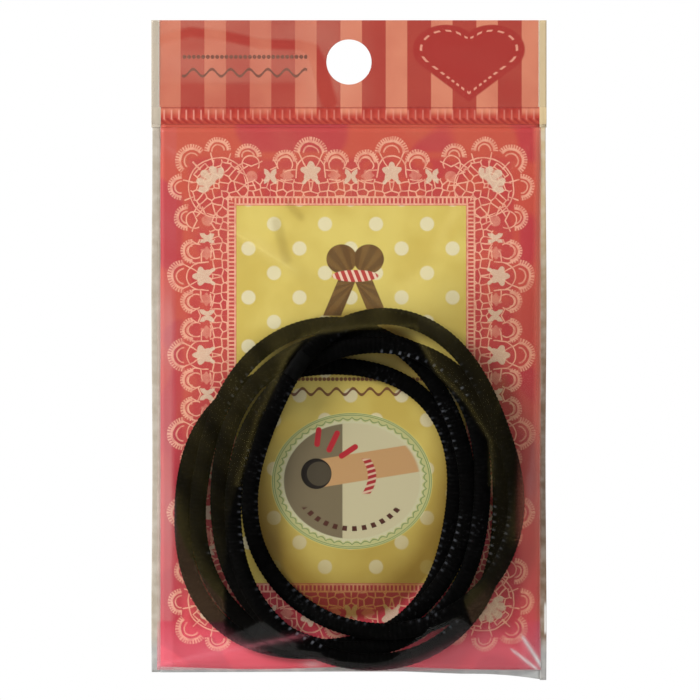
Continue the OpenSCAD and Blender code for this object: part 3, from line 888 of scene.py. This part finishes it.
station_angles = 2 * np.pi * np.arange(STATIONS) / STATIONS
paths = [loop_point(k, station_angles) for k in range(5)]
steps = np.arange(-CLIMB, CLIMB + 1)
climb_ramp = np.where(np.abs(steps) <= 1, 1.0,
                      (1 + np.cos(np.pi * (np.abs(steps) - 1) / CLIMB)) / 2)
pile = []
for k in range(5):
    need = np.full(STATIONS, LYING)
    for below_path, below in zip(paths, pile):
        need = np.maximum(need, height_over(paths[k], below_path, below))
    eased = [LYING + (np.roll(need, -q) - LYING) * r for q, r in zip(steps, climb_ramp)]
    pile.append(np.max(eased, 0))


def strand_middle(band, angle):
    """Middle of a strand in the bag, with its height in the pile joined between stations."""
    flat = loop_point(band, angle)
    place = np.mod(angle, 2 * np.pi) * STATIONS / (2 * np.pi)
    height = np.interp(place, np.arange(STATIONS + 1), np.append(pile[band], pile[band][0]))
    return np.stack([flat[:, 0], CARD_FRONT - height, BUNDLE_Z + flat[:, 1]], -1)


def round_angles(sides):
    """The angles of a ring's points, round the strand."""
    return 2 * np.pi * (np.arange(sides) + 0.5) / sides


def swept(band, angle, swell, thin, sides):
    """Rings of a strand: an ellipse a little squared off, with swell times the strand's width
    across and swell less thin times its thickness through."""
    middle = strand_middle(band, angle)
    along = strand_middle(band, angle + 0.01) - strand_middle(band, angle - 0.01)
    flat = along * [1, 0, 1]
    across = np.cross(flat, [0, 1, 0]) / np.linalg.norm(flat, axis=1)[:, None]
    through = np.cross(along, across)
    through /= np.linalg.norm(through, axis=1)[:, None]
    c, s = np.cos(round_angles(sides)), np.sin(round_angles(sides))
    squared = (np.abs(c) ** 2.6 + np.abs(s) ** 2.6) ** (-1 / 2.6)
    half_w, half_t = STRAND_W / 2 * swell[:, None], STRAND_T / 2 * (swell - thin)[:, None]
    return (middle[:, None] + (half_w * c * squared)[..., None] * across[:, None]
            + (half_t * s * squared)[..., None] * through[:, None])


def tube(name, material, rings):
    """A closed rod from rings of points, with its two ends closed by a ring drawn in."""
    count, sides = rings.shape[:2]
    ends = [rings[k].mean(0) + (rings[k] - rings[k].mean(0)) * 0.02 for k in (0, -1)]
    points = np.concatenate([ends[0][None], rings, ends[1][None]])
    return made(name, material, points, quads(count + 2, sides, loop_columns=True)[:, ::-1])


def knit(f):
    """Black knitted yarn: courses across the tube, their crests a little lighter and flecked with
    pale specks of sheen, both painted highlights, and a thread.
    """
    course = f.mark("course")
    fuzz, patch = f.noise(f.place(), 2600.0, 3.0), f.noise(f.place(), 90.0, 3.0)
    paint = f.tint(course * f.ease(fuzz, 0.4, 0.75), SOOT, COAL)
    # Painted highlights: pale specks of sheen on the courses' crests.
    worn = course * f.ease(fuzz, 0.55, 0.8) * f.ease(patch, 0.5, 0.62)
    paint = f.tint(worn, paint, YARN_SHEEN)
    paint = f.tint(f.mark("edge") * f.ease(patch, 0.46, 0.6), paint, SEAM_THREAD)
    f.shown(f.solid(paint, f.ease(fuzz, 0.2, 0.9) * 0.2 + 0.62, (fuzz, 0.35, 0.1),
                    Specular_IOR_Level=0.03))


def flecked(grain, detail, dark, light, rough, strength=0.0, **constants):
    """A finish of two close colours in fine flecks, rougher where they are light, with a bump
    of that strength."""
    def lay(f):
        fleck = f.noise(f.place(), grain, detail)
        f.shown(f.solid(f.tint(fleck, dark, light), f.ease(fleck, 0.2, 0.8) * 0.2 + rough,
                        (fleck, strength, 0.1) if strength else None, **constants))
    return lay


# The splice is the same tube pressed flat and glued, smoother and a little shiny.
knit_material = finished("band_knit", knit)
bonded_material = finished("band_splice", flecked(700.0, 4.0, SOOT, COAL, 0.5, 0.25,
                                                  Specular_IOR_Level=0.04))
rubber_material = finished("band_core", flecked(500.0, 3.0, ink(40, 38, 36), ink(58, 54, 50),
                                                0.5))
yarn_material = finished("band_yarn", flecked(1500.0, 2.0, ink(96, 97, 102),
                                              ink(150, 152, 158), 0.4, Metallic=0.4))
count = COURSES * RINGS_A_COURSE + 1
open_turn = SPLICE_TURN + (2 * np.pi - 2 * SPLICE_TURN) * np.linspace(0, 1, count)
course = 0.5 - 0.5 * np.cos(2 * np.pi * np.arange(count) / RINGS_A_COURSE)
on_edge = np.exp(-((np.cos(round_angles(SIDES)) - SEAM_AT) / SEAM_WIDE) ** 2)
# The seam thread shows as a pale stitch at every second course.
stitch = (np.arange(count + 2) % (2 * RINGS_A_COURSE) < 2)[:, None]
across_splice = np.linspace(-1, 1, 33)
for k in range(5):
    cover = tube(f"band_{k + 1}_knit", knit_material,
                 swept(k, SPLICE_ANGLES[k] + open_turn, 1.06 - 0.08 * (1 - course), 0.06, SIDES))
    marked(cover, "course", np.concatenate([[0], course, [0]])[:, None] + 0 * on_edge)
    marked(cover, "edge", on_edge * (stitch * SEAM_SHOWS[k]))
    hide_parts(f"band_{k + 1}_cover")
    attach(cover, "bands")

    splice = tube(f"band_{k + 1}_bond", bonded_material,
                  swept(k, SPLICE_ANGLES[k] + SPLICE_TURN * across_splice,
                        1.0 + 0.03 * np.cos(across_splice * 3 * np.pi), 0.0, 24))
    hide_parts(f"band_{k + 1}_splice")
    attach(splice, "bands")
    for part, material in (("core", rubber_material), ("yarn", yarn_material)):
        refinish(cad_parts[f"band_{k + 1}_{part}"], material)

# --- front film --------------------------------------------------------------------------
# Clear film welded along both sides and the bottom and puffed out by the pile of bands. It is
# too stiff to stretch, so it bridges the loops and falls to the welds in sharp pleats.
POUCH_HALF, WELD_TOP = 34.0, -107.7
# The film's inner face lies this far in front of the card's middle where nothing holds it up.
CLEAR_OF_CARD = 0.145
# How far the film keeps off a strand, sideways and in front.
STRAND_SIDE, STRAND_FRONT = 0.3, 0.2
STIFF_ROUNDS, SOFT_ROUNDS, SOFT_SHARE, FILM_REACH = 6, 150, 0.25, 7.0


def stiff_skin(under, rounds):
    """A skin that can't stretch, over what lies under it: no point is lower than the middle of
    any two points straight across from each other."""
    skin = under.copy()
    rows, columns = skin.shape
    ways = [(0, 1), (1, 0), (1, 1), (1, -1), (1, 2), (2, 1), (1, -2), (2, -1), (1, 3), (3, 1),
            (1, -3), (3, -1)]
    for _ in range(rounds):
        for down_step, right_step in ways:
            for far in (1, 2, 4, 8, 16, 32):
                r, c = down_step * far, abs(right_step) * far
                if 2 * r >= rows or 2 * c >= columns:
                    continue
                a, b = skin[:rows - 2 * r], skin[2 * r:]
                if right_step >= 0:
                    a, b = a[:, :columns - 2 * c], b[:, 2 * c:]
                else:
                    a, b = a[:, 2 * c:], b[:, :columns - 2 * c]
                core = skin[r:rows - r, c:columns - c]
                np.maximum(core, (a + b) / 2, out=core)
    return skin


def soft_skin(skin, under, rounds):
    """The mean of the four neighbours, over and over, but never below what lies under."""
    skin = skin.copy()
    for _ in range(rounds):
        mean = (skin[:-2, 1:-1] + skin[2:, 1:-1] + skin[1:-1, :-2] + skin[1:-1, 2:]) / 4
        skin[1:-1, 1:-1] = np.maximum(under[1:-1, 1:-1], mean)
    return skin


def finer(skin):
    """The same surface with a point between every two."""
    rows = np.repeat(skin, 2, 0)[:-1]
    rows[1::2] = (skin[:-1] + skin[1:]) / 2
    both = np.repeat(rows, 2, 1)[:, :-1]
    both[:, 1::2] = (rows[:, :-1] + rows[:, 1:]) / 2
    return both


film_x = np.linspace(-POUCH_HALF, POUCH_HALF, 85)
film_z = np.linspace(SHEET_TOP, WELD_TOP + 0.12, 121)
gx, gz = np.meshgrid(film_x, film_z)
under = CLEAR_OF_CARD + 0 * gx
for k in range(5):
    line = strand_middle(k, np.linspace(0, 2 * np.pi, 600, endpoint=False))
    away = np.hypot(gx[..., None] - line[:, 0], gz[..., None] - line[:, 2])
    nearest = away.argmin(-1)
    dist = away.min(-1) / (STRAND_W / 2 + STRAND_SIDE)
    bulge = (STRAND_T / 2 + STRAND_FRONT) * np.sqrt(np.clip(1 - dist ** 2, 0, 1))
    under = np.maximum(under, np.where(dist < 1, bulge - line[nearest, 1], 0))
stiff = stiff_skin(under, STIFF_ROUNDS)
soft = soft_skin(stiff, under, SOFT_ROUNDS)
skin = finer(soft_skin((1 - SOFT_SHARE) * stiff + SOFT_SHARE * soft, under, 2))
film_x, film_z = (np.linspace(k[0], k[-1], 2 * len(k) - 1) for k in (film_x, film_z))
gx, gz = np.meshgrid(film_x, film_z)
edge_share = np.clip(inset(gx, gz, POUCH_HALF, SHEET_TOP, WELD_TOP) / 2.5, 0, 1)
# Folds at the lower corners, over the top of the loops, from the upper corners, down the sides.
folds = creases(
    gx, gz,
    (0.30, -33.0, -107.0, -9.0, -104.2, 0.7, 4.0), (0.22, 30.0, -101.0, 33.8, -107.5, 0.5, 4.0),
    (0.22, -19.7, -30.5, -10.8, -36.2, 0.5, 2.0), (0.12, -12.8, -29.4, -10.8, -36.0, 0.5, 2.0),
    (0.12, -10.5, -25.5, -8.5, -27.7, 0.5, 2.0), (0.15, -31.0, -16.0, -20.0, -24.0, 0.9, 4.0),
    (0.15, 31.0, -16.0, 22.0, -25.0, 0.9, 4.0), (0.18, 32.5, -62.0, 30.0, -96.0, 0.6, 4.0),
    (0.18, -33.0, -38.0, -30.0, -49.0, 0.6, 4.0), (0.16, -33.0, -60.0, -31.0, -100.0, 0.6, 4.0),
    (0.14, 20.0, -104.0, 33.0, -92.0, 0.8, 4.0))
waves = 0.05 * (1 + ripple(gx, gz, 18.0, 0.2, 5)) + 0.02 * (1 + ripple(gx, gz, 7.0, 1.0, 8))
skin = np.minimum(skin + (folds + waves) * edge_share, FILM_REACH)
# The last rows turn down over the lowest band to the bottom weld.
turning = CLEAR_OF_CARD + (skin[-1:] - CLEAR_OF_CARD) * [[0.7], [0.0]]
skin = np.concatenate([skin, turning])
film_z = np.concatenate([film_z, WELD_TOP + np.array([0.05, 0.0])])
gx, gz = np.meshgrid(film_x, film_z)
# Where the film is pulled flat over the pile, inside this outline, it is quite clear. Where it
# falls away to the card it has a faint warm veil, strongest over the upper part of the loops, which
# is partly haze and partly painted reflection of the soft box.
PLATEAU = np.array([(-8.3, -48.9), (-5.1, -47.8), (2.8, -46.8), (11.7, -46.8), (12.4, -49.3),
                    (15.6, -54.9), (20.6, -59.9), (25.0, -67.0), (25.3, -83.8), (20.6, -95.3),
                    (22.3, -100.1), (22.3, -107.6), (-22.2, -107.6), (-22.2, -90.9),
                    (-21.6, -80.6), (-16.3, -63.4), (-11.0, -52.3)])


def within(x, z, corners):
    """1 inside a closed outline and 0 outside: the parity of the sides crossed on the way right."""
    crossed = np.zeros(x.shape, int)
    for (x0, z0), (x1, z1) in zip(corners, np.roll(corners, -1, 0)):
        between = (z0 > z) != (z1 > z)
        crossed += between & (x < x0 + (x1 - x0) * (z - z0) / (z1 - z0 + 1e-9))
    return crossed % 2


def painted_crease_highlights(x, z):
    """Painted highlights: pale lines in the lower right corner and a pale patch at the foot."""
    return creases(x, z, (0.45, 31.0, -102.2, 33.9, -106.7, 0.3, 0.8),
                   (0.35, 29.3, -104.4, 32.8, -107.2, 0.25, 0.8)) + 0.22 * bump(
        x, z, -6.4, -106.4, 2.0, 0.7)


def film_haze_and_reflection(x, z):
    """The veil over the pouch, from 0 to 1: faint haze where the film stands off the card, stronger
    high up and on the left as painted reflection of the soft box, with painted highlights in paler
    lines along its sharpest pleats.
    """
    edge_line = near_line(x, z, np.concatenate([PLATEAU, PLATEAU[:1]]))
    outside = 1 - within(x, z, PLATEAU) * np.clip(edge_line / 0.45, 0, 1)
    streaks = 0.85 + 0.5 * ripple(x, z, 6.0, 0.3, 44)
    # Painted reflection of the soft box: stronger high up and towards the left.
    high = np.clip((z + 75.0) / 25.0, 0, 1) * np.clip((24.0 - x) / 20.0, 0.15, 1)
    high *= 1 - 0.35 * np.clip((-8.0 - x) / 8.0, 0, 1)
    patches = np.clip(0.5 + 1.6 * ripple(x, z, 15.0, 1.0, 41), 0, 1)
    beside = np.clip((np.hypot(x, z + 72) - 29) / 2, 0, 1) * np.clip(
        np.maximum(np.abs(x - 0.4) - 20.3, np.abs(z + 58.9) - 33.4), 0, 1)
    veil = ((0.008 + 0.034 * high) * streaks + 0.03 * patches * beside) * outside
    veil += 0.03 * np.exp(-(edge_line / 0.4) ** 2) * (z > -75)
    # Painted reflections on three flat facets over the upper loops, then a paler veil at the foot,
    # painted reflection down the left side, and painted light that lifts the shaded right side.
    veil += (0.16 * bump(x, z, -15.0, -33.0, 5.5, 1.5, -0.56)
             + 0.12 * bump(x, z, 17.5, -29.0, 5.0, 1.2, 1.1)
             + 0.1 * bump(x, z, 12.0, -38.5, 4.0, 1.4, 0.7))
    below_loops = np.clip((np.hypot(x, z + 73.5) - 33.5) / 3, 0, 1)
    veil += 0.2 * np.clip((-99.0 - z) / 5, 0, 1) * below_loops
    left = np.clip((-30.9 - x) / 0.7, 0, 1) * np.clip((-z - 34) / 16, 0, 1)
    veil += 0.15 * left * (0.8 + 0.4 * ripple(x, z, 30.0, 1.4, 42))
    veil += 0.42 * np.clip((x - 32.5) / 0.8, 0, 1) * np.clip((z + 90.0) / 40, 0.3, 1)
    veil += 0.12 * np.clip((x - 29.5) / 1.5, 0, 1) * np.clip((-z - 52) / 10, 0, 1)
    # Painted highlights: paler lines along the sharpest pleats.
    lines = creases(
        x, z, (0.12, -19.7, -30.5, -10.8, -36.2, 0.4, 1.5),
        (0.16, -33.0, -106.6, -10.0, -101.6, 0.4, 3.0),
        (0.08, 32.2, -88.0, 31.8, -95.0, 0.25, 2.0), (0.05, -31.0, -16.0, -20.0, -24.0, 0.3, 2.0),
        (0.08, 31.0, -16.0, 24.0, -25.0, 0.3, 2.0), (0.06, 31.0, -40.0, 27.0, -58.0, 0.4, 3.0))
    return veil + lines + painted_crease_highlights(x, z)


def film_tone(x, z):
    """The colour of the veil: olive over the bands, cream over the yellow panel, pink down the left
    side, coral down the right, rose at the foot and pale in the painted crease highlights."""
    tone = np.where(np.hypot(x, z + 72)[..., None] < 32, OLIVE, WARM)
    on_yellow = (np.abs(x - PANEL_X) < 20.3) & (z < -25.5) & (np.hypot(x, z + 73.5) > 30.5)
    tone = np.where(on_yellow[..., None], CREAM, tone)
    tone = np.where(x[..., None] < -30.6, PINK, tone)
    tone = np.where(x[..., None] > 29.5, CORAL, tone)
    tone = np.where(z[..., None] < -99.0, ROSE, tone)
    pale = np.clip(painted_crease_highlights(x, z) * 5, 0, 1)[..., None]
    return tone + (0.9 - tone) * pale


# The long piece is the film over the card and the bands; the short one is the film that then lies
# between the bands and the bottom weld.
GATHER_LOW = -42.0
for name, rows, bodies, ends in (
        ("front_film_sheet", slice(0, -2), ("bands", "pouch"), (GATHER_LOW, SHEET_TOP)),
        ("front_film_hem", slice(-3, None), ("pouch", "bands"), (WELD_TOP, film_z[-3]))):
    x, z, inner = gx[rows], gz[rows], -skin[rows]
    front_piece = closed_sheet(name, film_material, x, z, inner - FILM_THIN, inner)
    veiled(front_piece, film_haze_and_reflection(x, z), film_tone(x, z))
    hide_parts("front_film")
    ends[0] * MM
    ends[1] * MM
    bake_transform(front_piece)

# --- back film and welds -----------------------------------------------------------------
# The back film lies on the card. Down both sides and along the bottom the two films are
# melted into one stiff, slightly wavy strip, with a drawn-out tail at the right corner.
bx, bz = np.meshgrid(film_x[::-2], np.linspace(SHEET_TOP, WELD_TOP, 121))
back_edge = np.clip(inset(bx, bz, POUCH_HALF, SHEET_TOP, WELD_TOP) / 3, 0, 1)
inner = CARD_BACK + 0.02 + 0.09 * (1 + ripple(bx, bz, 16.0, 0.9, 21)) * back_edge
back_piece = closed_sheet("back_film_sheet", film_material, bx, bz, inner + FILM_THIN, inner)
veiled(back_piece, 0.01 + 0 * bx, PALE)
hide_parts("back_film")
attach(back_piece, "pouch")


def welded(f):
    """Melted film: a stiff, nearly opaque strip, warm white on the left, brown-grey on the right as
    painted shade where it is turned from the light, and cool grey at the foot, with a painted
    highlight down the right weld."""
    x, z, place = on_sheet(f)
    cloud = f.noise(place, 0.35, 3.0)
    # Painted shade: the right weld turns brown-grey lower down.
    right = f.tint(f.ease(z, -15.0, -60.0), (*RIGHT_EDGE, 1), (*RIGHT_EDGE_SHADED, 1))
    paint = f.tint(f.math("GREATER_THAN", x, 0.0), (*LEFT_EDGE, 1), right)
    foot = f.most(f.ease(z, -107.0, -107.6) * f.ease(abs(x), 34.2, 33.6),
                  f.ease(z, -101.0, -105.0) * 0.8)
    paint = f.tint(foot, paint, (*LOW_EDGE, 1))
    # A painted highlight: a short bright line down the right weld.
    painted_glint = f.ease(abs(x - 34.8), 0.3, 0.1) * f.ease(abs(z + 98.6), 3.2, 2.0)
    paint = f.tint(painted_glint, paint, ink(250, 250, 248))
    paint = f.tint(f.ease(cloud, 0.35, 0.7) * 0.35, paint, ink(226, 222, 214))
    clear = f.node("BsdfTransparent", None, {"Color": (0.8, 0.78, 0.74, 1.0)})
    milky = f.ease(cloud, 0.3, 0.8) * 0.15 + 0.75
    f.shown(f.node("MixShader", None, {0: milky, 1: clear, 2: f.solid(paint, 0.35)}))


weld_material = finished("welded_film", welded)


def weld(name, node, x, z):
    """A weld from its grid of places: 0.2 mm thick, with a slow wave through it."""
    x, z = np.broadcast_arrays(x, z)
    wave = 0.12 * ripple(x, z, 12.0, 1.3, 31)
    piece = closed_sheet(name, weld_material, x, z, wave - 0.1, wave + 0.1)
    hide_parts(node)
    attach(piece, "pouch")


WELD_OVER = 0.02
for side, name, low in ((-1, "left", -108.1), (1, "right", -109.5)):
    low_z = np.linspace(SHEET_TOP, low, 141)[:, None]
    inner_x = SHEET_MID + side * (SHEET_HALF + WELD_OVER)
    outer_x = side * (HALF_W - 0.08 + 0.08 * np.sin(low_z / 9.0))
    outwards = np.linspace(0, 1, 7)[::side]
    weld(f"{name}_weld", f"{name}_side_seal", inner_x + (outer_x - inner_x) * outwards, low_z)
wx = SHEET_MID + np.linspace(-1, 1, 121) * (SHEET_HALF + WELD_OVER)
low_edge = (-107.98 - 0.15 * np.clip(-wx / 34, 0, 1) - 0.4 * np.clip((wx - 10) / 10, 0, 1)
            - 1.0 * np.clip((wx - 22) / 12, 0, 1) ** 2)
down = np.linspace(0, 1, 6)[:, None]
wz = sheet_low(wx) - WELD_OVER + (low_edge - sheet_low(wx)) * down
weld("bottom_weld", "bottom_seal", wx, wz)
